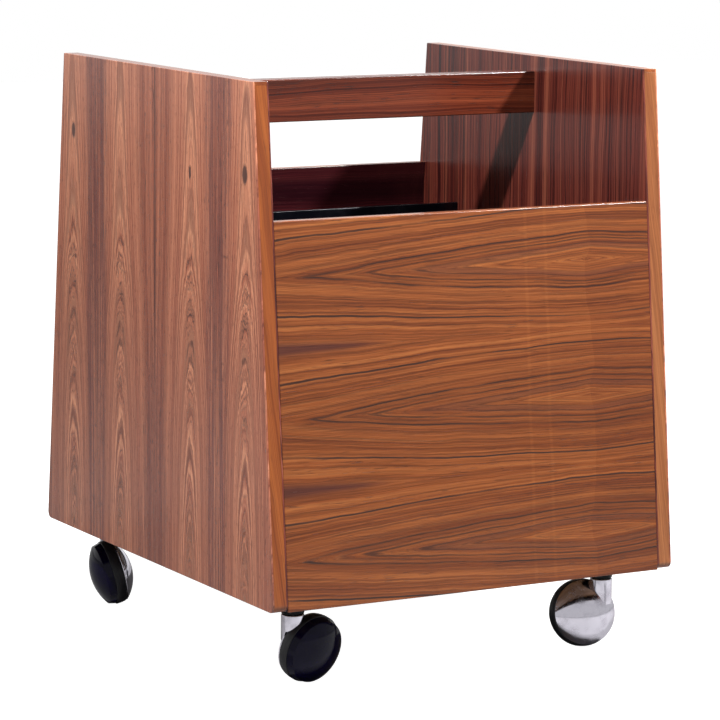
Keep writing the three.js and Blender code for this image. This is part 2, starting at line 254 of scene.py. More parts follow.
def place(name, data, material, matrix=Matrix.Identity(4)):
    """An object of its own copy of a mesh, moved by matrix."""
    own = data.copy()
    own.name = name
    own.transform(matrix)
    own.materials.clear()
    own.materials.append(material)
    piece = bpy.data.objects.new(name, own)
    bpy.context.scene.collection.objects.link(piece)
    return piece


def settle(piece, body, node, slot):
    """Puts a finished piece in a CAD node's place."""
    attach(piece, body)
    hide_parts(node)


# ---- node graphs ----
class Wire:
    """A value in a node graph, so that a material's formulas read as formulas."""

    def __init__(self, graph, socket):
        self.graph = graph
        self.socket = socket

    def __add__(self, other):
        return self.graph.math("ADD", self, other)

    def __sub__(self, other):
        return self.graph.math("SUBTRACT", self, other)

    def __mul__(self, other):
        return self.graph.math("MULTIPLY", self, other)

    def __truediv__(self, other):
        return self.graph.math("DIVIDE", self, other)

    def __rsub__(self, other):
        return self.graph.math("SUBTRACT", other, self)

    def __abs__(self):
        return self.graph.math("ABSOLUTE", self)

    __radd__ = __add__
    __rmul__ = __mul__


class Graph:
    """A material or world node tree."""

    def __init__(self, owner):
        owner.use_nodes = True
        self.tree = owner.node_tree
        self.tree.nodes.clear()

    def node(self, kind, settings=None, inputs=None):
        made = self.tree.nodes.new(kind)
        for key, value in (settings or {}).items():
            setattr(made, key, value)
        for key, value in (inputs or {}).items():
            self.feed(made.inputs[key], value)
        return made

    def feed(self, socket, value):
        if isinstance(value, Wire):
            self.tree.links.new(value.socket, socket)
        else:
            socket.default_value = value

    def math(self, operation, *values):
        made = self.node("ShaderNodeMath", {"operation": operation})
        for socket, value in zip(made.inputs, values):
            self.feed(socket, value)
        return Wire(self, made.outputs[0])

    def root(self, value):
        return self.math("SQRT", value)

    def most(self, first, *others):
        """The largest of several values."""
        largest = first
        for value in others:
            largest = self.math("MAXIMUM", largest, value)
        return largest

    def fold(self, value, size):
        """0 at a seam, rising to size at the next, and back to 0: the mirror images of matched leaves."""
        return self.math("PINGPONG", value, size)

    def vector(self, x, y, z=0.0):
        made = self.node("ShaderNodeCombineXYZ", inputs={"X": x, "Y": y, "Z": z})
        return Wire(self, made.outputs[0])

    def noise(self, x, y=None, z=0.0, detail=2.0, roughness=0.5):
        """Smooth noise of mean one half, along one line or over a plane."""
        settings = {"noise_dimensions": "1D" if y is None else "3D"}
        where = {"W": x} if y is None else {"Vector": self.vector(x, y, z)}
        inputs = {"Scale": 1.0, "Detail": detail, "Roughness": roughness, **where}
        return Wire(self, self.node("ShaderNodeTexNoise", settings, inputs).outputs[0])

    def ease(self, value, low, high, to_low=0.0, to_high=1.0):
        """Smoothly from to_low, below low, to to_high, above high."""
        made = self.node("ShaderNodeMapRange", {"interpolation_type": "SMOOTHSTEP"}, {
            "Value": value, "From Min": low, "From Max": high, "To Min": to_low, "To Max": to_high})
        return Wire(self, made.outputs[0])

    def ridge(self, value, width):
        """1 where a noise passes its mean, 0 further than width from it: thin lines."""
        return self.ease(abs(value - 0.5), 0.0, width, 1.0, 0.0)

    def curve(self, value, points, x_high, y_high):
        """A smooth curve through points, given in the value's own units."""
        made = self.node("ShaderNodeFloatCurve", inputs={"Value": value / x_high})
        line = made.mapping.curves[0]
        made.mapping.use_clip = False
        for index, (x, y) in enumerate(points):
            where = (x / x_high, y / y_high)
            if index < 2:
                line.points[index].location = where
            else:
                line.points.new(*where)
        made.mapping.update()
        return Wire(self, made.outputs[0]) * y_high

    def ramp(self, value, stops):
        """A colour ramp. stops are (position, linear colour)."""
        made = self.node("ShaderNodeValToRGB", inputs={"Fac": value})
        made.color_ramp.interpolation = "B_SPLINE" if len(stops) > 2 else "LINEAR"
        elements = made.color_ramp.elements
        for index, (position, colour) in enumerate(stops):
            element = elements[index] if index < 2 else elements.new(position)
            element.position = position
            element.color = (*colour, 1)
        return Wire(self, made.outputs[0])

    def mix(self, share, one, two, blend="MIX"):
        made = self.node("ShaderNodeMix", {"data_type": "RGBA", "blend_type": blend})
        self.feed(made.inputs[0], share)
        for socket, value in ((made.inputs[6], one), (made.inputs[7], two)):
            self.feed(socket, value if isinstance(value, Wire) else (*value, 1))
        return Wire(self, made.outputs[2])

    def grey(self, value):
        """The same number as a colour's three parts."""
        made = self.node("ShaderNodeCombineColor", inputs={"Red": value, "Green": value, "Blue": value})
        return Wire(self, made.outputs[0])

    def place_mm(self):
        """The surface point in the piece's own axes, in mm."""
        source = self.node("ShaderNodeTexCoord").outputs["Object"]
        split = self.node("ShaderNodeSeparateXYZ", inputs={"Vector": Wire(self, source)})
        return [Wire(self, socket) * 1000 for socket in split.outputs]

    def surface(self, height=None, height_mm=0.02, **sockets):
        """The material's one shader. height is a bump from 0 to 1 that stands height_mm tall."""
        shader = self.node("ShaderNodeBsdfPrincipled")
        for key, value in sockets.items():
            self.feed(shader.inputs[key.replace("_", " ")], value)
        if height is not None:
            bump = self.node("ShaderNodeBump", inputs={"Height": height, "Distance": height_mm * MM})
            self.tree.links.new(bump.outputs[0], shader.inputs["Normal"])
        output = self.node("ShaderNodeOutputMaterial")
        self.tree.links.new(shader.outputs[0], output.inputs[0])


def material(name):
    made = bpy.data.materials.new(name)
    return made, Graph(made)


def linear(red, green, blue):
    """A linear colour from the eye's 0 to 255 scale."""
    def part(value):
        share = value / 255
        return share / 12.92 if share <= 0.04045 else ((share + 0.055) / 1.055) ** 2.4
    return tuple(part(value) for value in (red, green, blue))


# ---- wood ----
LACQUER_ROUGH = 0.21
FIBRE_SHADES = (0.86, 1.14)                      # darkest and lightest fibre, as shares of the wood's colour
WOOD_RELIEF = 0.03                               # how deep the pores are, in mm


def wood(graph, tone, dark, dark_colour, line, line_colour, fibre, stops):
    """A lacquered wood surface. tone, dark, line and fibre run from 0 to 1."""
    colour = graph.ramp(tone, stops)
    colour = graph.mix(dark, colour, dark_colour)
    colour = graph.mix(line, colour, line_colour)
    grain = graph.ease(fibre, 0.3, 0.7, *FIBRE_SHADES)
    colour = graph.mix(1.0, colour, graph.grey(grain), "MULTIPLY")
    rough = fibre * 0.10 + line * 0.12 + (LACQUER_ROUGH - 0.05)
    height = 1.0 - line * 0.8 + fibre * 0.25
    graph.surface(height, WOOD_RELIEF, Base_Color=colour, Roughness=rough, IOR=1.5)


def fine_grain(graph, across, along, seed):
    """(pores, fibres) of an open-grained wood: short dark dashes and hair-thin streaks along the grain."""
    dashes = graph.noise(across * 1.15, along * 0.055, seed, detail=1.0)
    pore = graph.ease(dashes, 0.60, 0.70)
    clusters = graph.ease(graph.noise(across * 0.11, along * 0.012, seed + 7.0), 0.35, 0.65, 0.25, 1.0)
    fibre = graph.noise(across * 0.75, along * 0.014, seed + 3.0, detail=3.0, roughness=0.65)
    return pore * clusters, fibre


SIDE_LEAF = 121.5                                # width of one matched leaf on a side panel
SIDE_SEAM = -3                                   # Y of the middle seam
SIDE_CROWN = 70                                  # from a seam to the middle of a leaf's crown
# How far from the log's middle a leaf is cut, at each height. It grows, so the arches close at the top.
CROWN_DEPTH = [(0, 9), (110, 18), (230, 28), (300, 34), (SIDE_HEIGHT, 38)]
CROWN_DEEPEST = 40
ARCHES_TOP = (285.0, 305.0)                      # heights between which the arches end, under the eye
EYE = {"height": 352, "half_height": 78, "half_width": 11, "outlines": (0.28, 0.62, 1.0, 1.5)}
# Y, height, half width and half height of each knot.
KNOTS = [(167, 372, 4.5, 8.0), (-72, 355, 2.4, 7.0), (-174, 363, 5.5, 9.5)]
HEART = {"half_width": 16.0, "widening": 0.025, "dark": 0.68, "pale": 0.10, "low_dark": 0.45}
SIDE_TONE = {"level": 0.51, "broad": 0.8, "fine": 1.2, "crown": 0.20, "middle": 0.13}
SIDE_STOPS = [(0.0, linear(102, 48, 38)), (0.35, linear(144, 82, 62)), (0.62, linear(172, 106, 80)),
              (1.0, linear(212, 146, 112))]
SIDE_HEART = linear(92, 50, 50)
SIDE_LINE = linear(46, 19, 17)


def side_places(g):
    """Where a point lies on a side panel's matched leaves, in mm, and how the figure wavers there."""
    x, y, z = g.place_mm()
    at = SimpleNamespace(x=x, y=y, height=z - BASE)
    at.from_seam = y - SIDE_SEAM
    at.leaf = g.fold(at.from_seam, SIDE_LEAF)
    at.number = g.math("FLOOR", at.from_seam / SIDE_LEAF) + g.math("SIGN", x) * 9.0
    at.drift = g.noise(at.leaf * 0.016, at.height * 0.005, at.number * 0.17) - 0.5
    at.wiggle = g.noise(at.leaf * 0.17, at.height * 0.05, at.number * 0.4) - 0.5
    jag = g.noise(at.leaf * 0.55, at.height * 0.09, at.number * 0.9) - 0.5
    at.across = at.leaf - SIDE_CROWN + at.drift * 10.0
    depth = g.curve(at.height + at.wiggle * 16.0 + jag * 13.0, CROWN_DEPTH, SIDE_HEIGHT, CROWN_DEEPEST)
    at.ring = g.root(at.across * at.across + depth * depth) + at.drift * 4.0
    return at


def side_eye(g, at):
    """The thin outlines of the long eye above the arches."""
    reach = (at.height - EYE["height"] + at.drift * 30.0) / EYE["half_height"]
    eye = abs(at.across) / EYE["half_width"] + reach * reach + at.wiggle * 0.25
    line = 0.0
    for outline in EYE["outlines"]:
        line = g.most(g.ease(abs(eye - outline), 0.015, 0.075, 0.55, 0.0), line)
    return line * g.ease(g.noise(at.height * 0.05, at.leaf * 0.05, at.number), 0.35, 0.55, 0.3, 1.0)


def side_knots(g, at):
    """Small dark knots, on the left panel only."""
    knots = 0.0
    for knot_y, knot_height, half_width, half_height in KNOTS:
        sideways = (at.y - knot_y + at.wiggle * 3.0) / half_width
        upward = (at.height - knot_height) / half_height
        spot = g.ease(g.root(sideways * sideways + upward * upward), 0.6, 1.2, 1.0, 0.0)
        knots = g.most(spot * g.math("LESS_THAN", at.x, 0.0), knots)
    return knots


def side_lines(g, at):
    """Thin dark lines: strong ones across the arches, faint ones beside them, the middle seam and the eye."""
    inside = g.ease(abs(at.across), 5.0, 17.0, 1.0, 0.0)
    low_arches = g.ease(at.height, *ARCHES_TOP, 1.0, 0.0)
    arch = g.ridge(g.noise(at.ring * 0.85 + at.number * 0.11, detail=0.0), 0.10) * inside * low_arches
    arch = arch * g.ease(g.noise(at.leaf * 0.14, at.height * 0.06, at.number + 5.0), 0.35, 0.55, 0.5, 1.0)
    arch = arch * g.ease(at.height, 190.0, 240.0, 0.75, 1.0)
    flank = g.ridge(g.noise(at.ring * 0.36 + at.number * 0.05, detail=1.0), 0.04) * 0.45
    seam = g.ease(at.leaf + at.drift * 4.0, 0.7, 2.0, 0.75, 0.0) * g.ease(at.height, 150.0, 260.0, 0.3, 1.0)
    seam = seam * g.math("LESS_THAN", abs(at.from_seam), 20.0)
    return g.most(arch, flank, side_eye(g, at), seam, side_knots(g, at))


def side_heart(g, at, broad):
    """(where heartwood lies, how dark the wood is): beside every second seam, and low at the middle seam."""
    to_seam = SIDE_LEAF - at.leaf
    edge = to_seam + (broad - 0.5) * 5.0
    width = at.height * HEART["widening"] + HEART["half_width"]
    heart = g.ease(edge - width, -6.0, 3.0, 1.0, 0.0)
    streaks = g.noise(edge * 0.5, at.height * 0.004, at.number * 0.3, detail=4.0, roughness=0.75)
    bands = g.ease(streaks, 0.40, 0.56)
    low_fan = g.ease(at.leaf + at.height * 0.12, 22.0, 42.0, 1.0, 0.0) * bands
    dark = g.most(heart * (bands * HEART["dark"] + HEART["pale"]), low_fan * HEART["low_dark"])
    pale_seam = g.ease(to_seam, 0.4, 1.6, 0.35, 0.0)
    return heart, dark * (1.0 - pale_seam)


def make_side_outer():
    """Tall matched leaves with nested arches, dark heartwood bands and a thin dark middle seam."""
    made, g = material("side_veneer")
    at = side_places(g)
    broad = g.noise(at.ring * 0.10 + at.number * 0.05, detail=1.0)
    fine = g.noise(at.ring * 0.8, detail=3.0, roughness=0.65)
    heart, dark = side_heart(g, at, broad)
    middle = g.ease(at.leaf, 4.0, 46.0, 1.0, 0.0)
    crown = g.ease(abs(at.across), 12.0, 26.0, 1.0, 0.0) * g.ease(at.height, 120.0, 330.0, 0.25, 1.0)
    soft = broad - g.ease(abs(at.across), 10.0, 30.0, 0.45, 0.0) * (broad - 0.5)
    tone = (soft - 0.5) * SIDE_TONE["broad"] + (fine - 0.5) * SIDE_TONE["fine"] + crown * SIDE_TONE["crown"]
    tone = tone + SIDE_TONE["level"] - middle * SIDE_TONE["middle"]

    # Pores and flecks lie closest together near the seams.
    pore, fibre = fine_grain(g, at.leaf, at.height, at.number * 1.7)
    fleck = g.ease(g.noise(at.leaf * 0.8, at.height * 0.16, at.number * 2.3, detail=1.0), 0.60, 0.72)
    busy = g.most(middle, heart) * 0.4 + 0.5
    marks = g.most(pore * busy, fleck * busy * 0.8)
    line = g.most(side_lines(g, at) * 0.9, marks)
    wood(g, tone, dark, SIDE_HEART, line, SIDE_LINE, fibre, SIDE_STOPS)
    return made


END_ROW = 59.2                                   # height of one matched leaf on an end panel
END_SEAM = 100.5                                 # height of a seam between two leaves
MEETING_X = 122                                  # where the leaves meet end to end
ARCH_SLOPE = 0.0877                              # how fast an arch closes, going away from that seam
FOLDS = (59, 79)                                 # X of two faint upright marks in the veneer
# Dark lines at fixed rings: where, half its width, and how dark.
END_LINES = [(48.5, 0.8, 1.0), (25.0, 0.75, 1.0), (31.0, 0.5, 0.45), (36.5, 0.55, 0.5), (42.0, 0.45, 0.4),
             (54.0, 0.55, 0.5), (19.5, 0.75, 0.85), (22.0, 0.5, 0.6), (15.0, 0.6, 0.7), (11.0, 0.5, 0.6)]
END_TONE = {"level": 0.54, "broad": 0.9, "fine": 1.5, "past_seam": 0.08, "fold": 0.07}
END_STOPS = [(0.0, linear(66, 24, 8)), (0.35, linear(98, 46, 16)), (0.62, linear(120, 62, 25)),
             (1.0, linear(146, 86, 42))]
END_DARK = linear(62, 27, 22)
END_LINE = linear(28, 7, 3)


def end_places(g):
    """Where a point lies on an end panel's matched leaves, in mm, and how the figure wavers there."""
    x, y, z = g.place_mm()
    at = SimpleNamespace(x=x, y=y, height=z - BASE)
    at.row = g.fold(at.height - END_SEAM, END_ROW)
    at.number = g.math("FLOOR", (at.height - END_SEAM) / END_ROW) + g.math("SIGN", y) * 5.0
    at.wander = (g.noise(at.height * 0.013, 0.0, 2.0) - 0.5) * 50.0
    at.from_end = abs(x - MEETING_X + at.wander)
    at.drift = g.noise(at.from_end * 0.008, at.row * 0.012, at.number * 0.25) - 0.5
    at.wiggle = g.noise(at.from_end * 0.05, at.row * 0.08, at.number * 0.6 + 3.0) - 0.5
    across = END_ROW - at.row + at.drift * 5.0
    crown = g.root(across * across + 0.5)
    arch = crown * (1.0 - at.from_end * 0.001) + at.from_end * ARCH_SLOPE
    at.ring = arch + at.wiggle * 1.3 + at.drift * 3.0
    return at


def end_lines(g, at):
    """Thin dark lines that follow the pointed arches, broken up into patches."""
    line = 0.0
    for where, half_width, weight in END_LINES:
        near = g.ease(abs(at.ring - where), half_width * 0.35, half_width * 1.3, weight, 0.0)
        line = g.most(near, line)
    loose = g.ridge(g.noise(at.ring * 0.5 + 9.0, detail=1.0), 0.05) * 0.5
    patch = g.ease(g.noise(at.from_end * 0.012, at.ring * 0.05, at.number), 0.34, 0.56, 0.5, 1.0)
    return g.most(line, loose) * patch


def end_wedges(g, at, broad):
    """Dark wedges: inside the arches near the upright seam, and at the left end of the front's row seams."""
    patch = g.ease(broad + at.wiggle * 0.6, 0.25, 0.6, 0.35, 1.0)
    wedge = g.ease(abs(at.ring - 13.5), 1.0, 4.2, 0.5, 0.0) * patch
    tail = g.ease(at.row + (at.x + 186.0) * 0.045, 2.0, 9.0, 0.85, 0.0)
    tail = tail * g.ease(at.x, -115.0, -70.0, 1.0, 0.0) * g.math("LESS_THAN", at.y, 0.0)
    return g.most(wedge, tail)


def make_end_outer():
    """Matched leaves laid sideways, whose long pointed arches start from an upright seam."""
    made, g = material("end_veneer")
    at = end_places(g)
    broad = g.noise(at.ring * 0.14 + at.number * 0.05, detail=1.0)
    fine = g.noise(at.ring * 0.55, at.from_end * 0.004, at.number * 0.3, detail=4.0, roughness=0.7)
    past_seam = g.math("GREATER_THAN", at.x + at.wander, MEETING_X) * END_TONE["past_seam"]
    folds = 0.0
    for fold_x in FOLDS:
        folds = g.most(g.ease(abs(at.x - fold_x + at.drift * 6.0), 0.5, 2.5, END_TONE["fold"], 0.0), folds)
    tone = (broad - 0.5) * END_TONE["broad"] + (fine - 0.5) * END_TONE["fine"]
    tone = tone + END_TONE["level"] - past_seam + folds

    pore, fibre = fine_grain(g, at.row, at.from_end, at.number * 1.3)
    line = g.most(end_lines(g, at) * 0.92, pore * 0.55)
    wood(g, tone, end_wedges(g, at, broad), END_DARK, line, END_LINE, fibre, END_STOPS)
    return made


def make_straight(name, grain_axis, stops, dark, pore_dark, period, lines, pores, seed):
    """Straight-grained wood, with its grain along one axis. period sets how far apart its lines are."""
    made, g = material(name)
    places = g.place_mm()
    along = places.pop(grain_axis)
    sway = g.noise(along * 0.006, places[0] * 0.02 + places[1] * 0.02, seed) - 0.5
    across = places[0] + places[1] + sway * 14.0
    broad = g.noise(across / (2.2 * period) + seed, detail=1.0)
    fine = g.noise(across / (0.3 * period) + seed, detail=3.0, roughness=0.6)
    patch = g.ease(g.noise(along * 0.008, across * 0.03, seed + 4.0), 0.35, 0.65, 0.4, 1.0)
    line = g.ridge(g.noise(across / period + 2.0 * seed, detail=1.0), 0.05) * lines * patch
    tone = (broad - 0.5) * 1.3 + (fine - 0.5) * 1.2 + 0.5
    pore, fibre = fine_grain(g, across, along, seed)
    wood(g, tone, line, dark, pore * pores, pore_dark, fibre, stops)
    return made


def make_lipping(name, grain_axis, stops, lines, seed):
    """Solid wood of an edge lipping, with its grain along the strip."""
    dark = linear(78, 34, 16)
    return make_straight(name, grain_axis, stops, dark, dark, period=5.0, lines=lines, pores=0.4, seed=seed)


def make_woods():
    """All woods by the name that the pieces use. The grain runs along X (0), Y (1) or Z (2)."""
    inner_stops = [(0.0, linear(50, 18, 16)), (0.4, linear(88, 36, 30)), (0.7, linear(112, 53, 41)),
                   (1.0, linear(138, 77, 58))]
    inner_dark = linear(38, 13, 15)
    # painted shade: the end panels' inner faces get a wood far darker than their outer faces, standing in for
    # the shade inside the rack
    painted_shade_inner_stops = [(0.0, linear(22, 4, 8)), (0.5, linear(38, 9, 14)), (1.0, linear(62, 20, 22))]
    lipping_stops = [(0.0, linear(96, 42, 15)), (0.5, linear(122, 60, 22)), (1.0, linear(144, 79, 34))]
    pale_stops = [(0.0, linear(105, 57, 28)), (0.5, linear(127, 73, 39)), (1.0, linear(145, 92, 55))]
    rail_stops = [(0.0, linear(50, 16, 9)), (0.5, linear(80, 31, 18)), (1.0, linear(115, 55, 33))]
    board_stops = [(0.0, linear(118, 84, 56)), (1.0, linear(158, 120, 84))]
    dowel_stops = [(0.0, linear(186, 150, 104)), (1.0, linear(214, 184, 140))]
    return {
        "side_outer": make_side_outer(),
        "side_inner": make_straight("side_inner_veneer", 2, inner_stops, inner_dark, inner_dark,
                                    period=6.0, lines=0.9, pores=0.5, seed=2.0),
        "end_outer": make_end_outer(),
        "end_inner": make_straight("end_inner_veneer_painted_shade", 0, painted_shade_inner_stops, inner_dark, inner_dark,
                                   period=9.0, lines=0.7, pores=0.6, seed=5.0),
        "lipping_up_left": make_lipping("lipping_upright", 2, lipping_stops, lines=0.35, seed=3.0),
        "lipping_up_right": make_lipping("lipping_upright_pale", 2, pale_stops, lines=0.25, seed=3.4),
        "lipping_deep": make_lipping("lipping_front_to_back", 1, lipping_stops, lines=0.35, seed=4.0),
        "lipping_wide": make_lipping("lipping_left_to_right", 0, lipping_stops, lines=0.35, seed=6.0),
        "rail": make_straight("rail_wood", 0, rail_stops, linear(34, 10, 8), linear(24, 6, 4),
                              period=6.0, lines=0.9, pores=1.0, seed=7.0),
        "board": make_straight("board_wood", 0, board_stops, linear(100, 68, 44), linear(92, 62, 40),
                               period=10.0, lines=0.4, pores=0.5, seed=8.0),
        "dowel": make_straight("dowel_wood", 0, dowel_stops, linear(170, 132, 90), linear(160, 124, 84),
                               period=3.0, lines=0.3, pores=0.3, seed=9.0),
    }


# ---- plastics, rubber and metal ----
def make_gloss_black(name, colour, rough, shine, scuffs, seed):
    """A black moulding with faint cloudy marks and hair-thin scratches in its gloss."""
    made, g = material(name)
    x, y, z = g.place_mm()
    clouds = g.noise(x * 0.06, y * 0.06, z * 0.06 + seed, detail=4.0, roughness=0.6)
    scratch = g.ridge(g.noise(x * 0.10 + y * 0.05, y * 0.012, z * 0.10 + seed, detail=3.0), 0.006)
    dust = g.ease(g.noise(x * 0.9, y * 0.9, z * 0.9 + seed, detail=2.0), 0.66, 0.74)
    marks = g.ease(clouds, 0.45, 0.75) * scuffs + scratch * scuffs * 0.5 + dust * scuffs * 0.6
    shade = g.mix(marks, colour, tuple(part * 4 + 0.01 for part in colour))
    roughness = g.ease(clouds, 0.3, 0.75, rough, rough + 0.12)
    g.surface(g.noise(x * 1.5, y * 1.5, z * 1.5) * (1.0 - scratch), 0.004,
              Base_Color=shade, Roughness=roughness, Specular_IOR_Level=shine)
    return made


def make_rubber():
    made, g = material("tyre_rubber")
    x, y, z = g.place_mm()
    dust = g.noise(x * 0.25, y * 0.25, z * 0.25, detail=5.0, roughness=0.65)
    shade = g.mix(g.ease(dust, 0.45, 0.75, 0.0, 0.6), linear(7, 6, 14), linear(30, 28, 38))
    g.surface(g.noise(x * 2.5, y * 2.5, z * 2.5, detail=3.0), 0.03,
              Base_Color=shade, Roughness=g.ease(dust, 0.3, 0.7, 0.42, 0.6), IOR=1.5)
    return made


def make_chrome():
    made, g = material("chrome")
    x, y, z = g.place_mm()
    haze = g.noise(x * 0.08, y * 0.08, z * 0.08, detail=4.0, roughness=0.6)
    wipe = g.noise(x * 1.2 + y * 0.2, y * 0.15, z * 0.15, detail=3.0)
    scratch = g.ridge(g.noise(x * 0.22 + z * 0.1, y * 0.03, z * 0.2, detail=3.0), 0.008)
    shade = g.mix(g.ease(haze, 0.45, 0.75, 0.0, 0.5), linear(214, 211, 222), linear(160, 155, 166))
    rough = g.ease(haze, 0.35, 0.75, 0.05, 0.22) + g.ease(wipe, 0.5, 0.8, 0.0, 0.10) + scratch * 0.15
    g.surface(wipe * (1.0 - scratch * 0.5), 0.003, Base_Color=shade, Metallic=1.0, Roughness=rough)
    return made


def make_steel():
    made, g = material("steel")
    x, y, z = g.place_mm()
    drawn = g.noise(x * 2.0, y * 2.0, z * 0.1, detail=3.0)
    shade = g.mix(drawn, linear(120, 120, 124), linear(168, 168, 172))
    g.surface(drawn, 0.01, Base_Color=shade, Metallic=1.0, Roughness=g.ease(drawn, 0.3, 0.7, 0.28, 0.42))
    return made


FLOOR_SHADES = ((0.28, 0.28, 0.28), (0.32, 0.32, 0.32))


def make_floor():
    """A plain grey floor as the rack sees it, and a white sweep as the camera sees it."""
    made, g = material("floor")
    x, y, z = g.place_mm()
    mottle = g.noise(x * 0.004, y * 0.004, 0.0, detail=3.0)
    shade = g.mix(mottle, *FLOOR_SHADES)
    seen = Wire(g, g.node("ShaderNodeLightPath").outputs["Is Camera Ray"])
    g.surface(Base_Color=shade, Roughness=0.7, Emission_Color=(1, 1, 1, 1), Emission_Strength=seen)
    return made


woods = make_woods()
chrome = make_chrome()
steel = make_steel()
disc_black = make_gloss_black("disc_black", linear(7, 4, 30),
                              rough=0.05, shine=0.14, scuffs=0.12, seed=1.0)
collar_black = make_gloss_black("collar_black", linear(8, 8, 10),
                                rough=0.24, shine=0.12, scuffs=0.15, seed=2.0)
divider_black = make_gloss_black("divider_black", linear(5, 5, 9),
                                 rough=0.16, shine=0.3, scuffs=0.12, seed=3.0)
tyre_rubber = make_rubber()


# ---- the case ----
def build_side(name, sense):
    """A side panel: two face veneers over a core that is set back for the lippings, and its four lippings."""
    outer = sense * OUTER_X
    inner = sense * INNER_X
    low, high = min(outer, inner), max(outer, inner)
    outline = side_outline()
    core = slab(outline, LIPPING_DEPTH + SEAM, SIDE_HEIGHT - LIPPING_DEPTH - SEAM)
    for end in (-1, 1):
        core = behind_edge(core, end, LIPPING_DEPTH + SEAM, 2 * HALF_BOTTOM)

    mesh = bmesh.new()
    add_prism(mesh, outline, low, low + VENEER, CRISP, GLUE_LINE)
    add_prism(mesh, core, low + VENEER, high - VENEER, 0, 0, 0)
    add_prism(mesh, outline, high - VENEER, high, GLUE_LINE, CRISP)
    middle = (low + high) / 2
    panel = finish_board(f"{name}_side_panel_fine", mesh, [woods["side_outer"], woods["side_inner"]],
                         lambda centre: 0 if (centre.x - middle) * sense > 0 else 1)
    settle(panel, "case", f"{name}_side_panel", "veneer")

    upright = slab(outline, LIPPING_DEPTH + SEAM, SIDE_HEIGHT - LIPPING_DEPTH - SEAM)
    strips = {
        "top": (slab(outline, SIDE_HEIGHT - LIPPING_DEPTH, SIDE_HEIGHT), "lipping_deep"),
        "bottom": (slab(outline, 0, LIPPING_DEPTH), "lipping_deep"),
        "front": (behind_edge(upright, -1, 0, LIPPING_DEPTH), f"lipping_up_{name}"),
        "rear": (behind_edge(upright, 1, 0, LIPPING_DEPTH), f"lipping_up_{name}"),
    }
    for where, (strip, wood_name) in strips.items():
        mesh = bmesh.new()
        add_prism(mesh, strip, low + VENEER + SEAM, high - VENEER - SEAM, GLUE_LINE, GLUE_LINE, GLUE_LINE)
        lipping = finish_board(f"{name}_{where}_lipping_fine", mesh, [woods[wood_name]])
        settle(lipping, "case", f"{name}_{where}_lipping", "lipping")


def build_end_panel(name, sense):
    """The front or rear panel, veneered on both faces, with a lipping along its top edge."""
    block = [Vector((-HALF_BOTTOM, 0)), Vector((HALF_BOTTOM, 0)),
             Vector((HALF_BOTTOM, PANEL_HEIGHT)), Vector((-HALF_BOTTOM, PANEL_HEIGHT))]
    reach = INNER_X - SEAM
    back = PANEL_THICKNESS - VENEER
    body = slab(block, 0, PANEL_HEIGHT - LIPPING_DEPTH - SEAM)
    cap = slab(block, PANEL_HEIGHT - LIPPING_DEPTH, PANEL_HEIGHT)

    mesh = bmesh.new()
    add_prism(mesh, behind_edge(block, sense, 0, VENEER), -reach, reach, CRISP, CRISP, PANEL_SOFT)
    add_prism(mesh, behind_edge(body, sense, VENEER, back), -reach, reach, 0, 0, 0)
    add_prism(mesh, behind_edge(block, sense, back, PANEL_THICKNESS), -reach, reach, CRISP, CRISP, PANEL_SOFT)

    def pick(centre):
        depth = (HALF_BOTTOM - SLOPE * (centre.z - BASE)) - sense * centre.y
        return 0 if depth < PANEL_THICKNESS / 2 else 1

    panel = finish_board(f"{name}_panel_fine", mesh, [woods["end_outer"], woods["end_inner"]], pick)
    settle(panel, "case", f"{name}_panel", "veneer")

    mesh = bmesh.new()
    add_prism(mesh, behind_edge(cap, sense, VENEER + SEAM, back - SEAM), -reach, reach,
              GLUE_LINE, GLUE_LINE, GLUE_LINE)
    lipping = finish_board(f"{name}_panel_top_lipping_fine", mesh, [woods["lipping_wide"]])
    settle(lipping, "case", f"{name}_panel_top_lipping", "lipping")


def build_rail():
    half = (rail_high.y - rail_low.y) / 2
    low = rail_low.z - BASE
    high = rail_high.z - BASE
    outline = [Vector((-half, low)), Vector((half, low)), Vector((half, high)), Vector((-half, high))]
    mesh = bmesh.new()
    add_prism(mesh, outline, -INNER_X + SEAM, INNER_X - SEAM, CRISP, CRISP, SOFT)
    rail = finish_board("handle_rail_fine", mesh, [woods["rail"]])
    settle(rail, "case", "handle_rail", "rail_wood")


def build_dividers():
    for node in sorted(n for n in frame["nodes"] if n.startswith("divider_")):
        low, high = span(node)
        outline = [Vector((low.y, low.z - BASE)), Vector((high.y, low.z - BASE)),
                   Vector((high.y, high.z - BASE)), Vector((low.y, high.z - BASE))]
        mesh = bmesh.new()
        add_prism(mesh, outline, -INNER_X + SEAM, INNER_X - SEAM, CRISP, CRISP, CRISP)
        divider = finish_board(f"{node}_fine", mesh, [divider_black])
        settle(divider, "case", node, "divider_black")


def dress_hidden_nodes():
    """The CAD nodes that keep their own shape."""
    dressed = {"bottom_board": woods["board"]}
    for node in frame["nodes"]:
        if "dowel" in node:
            dressed[node] = woods["dowel"]
        if node.startswith(("caster_stem_", "caster_axle_")):
            dressed[node] = steel
    for node, look in dressed.items():
        data = frame["nodes"][node].data
        data.materials.clear()
        data.materials.append(look)


